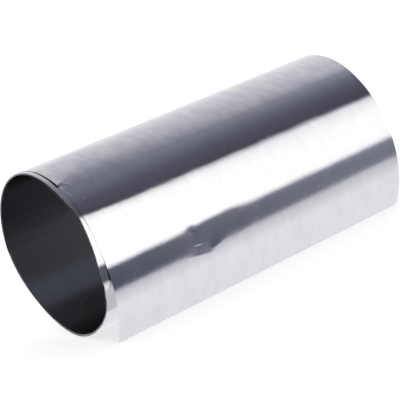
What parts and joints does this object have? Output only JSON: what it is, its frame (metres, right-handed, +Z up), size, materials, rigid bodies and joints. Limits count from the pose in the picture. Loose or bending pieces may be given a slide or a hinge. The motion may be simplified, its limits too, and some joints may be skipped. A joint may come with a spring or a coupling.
{
  "type": "shim stock roll",
  "caption": "Roll of thin bright steel shim foil, a tube of turns round an open bore, lying on its side with its outer end sprung loose.",
  "frame": {"origin": "on the roll's axis, at half the width of its outer turns", "axes": "+X along the roll's axis towards the end where the inner turns are set in, -Y the front with the loose end, +Z up"},
  "size_m": [0.1543, 0.0744, 0.0706],
  "materials": {
    "foil": "bright rolled"
  },
  "bodies": {
    "root": {"shim_roll": "foil"}
  },
  "joints": []
}
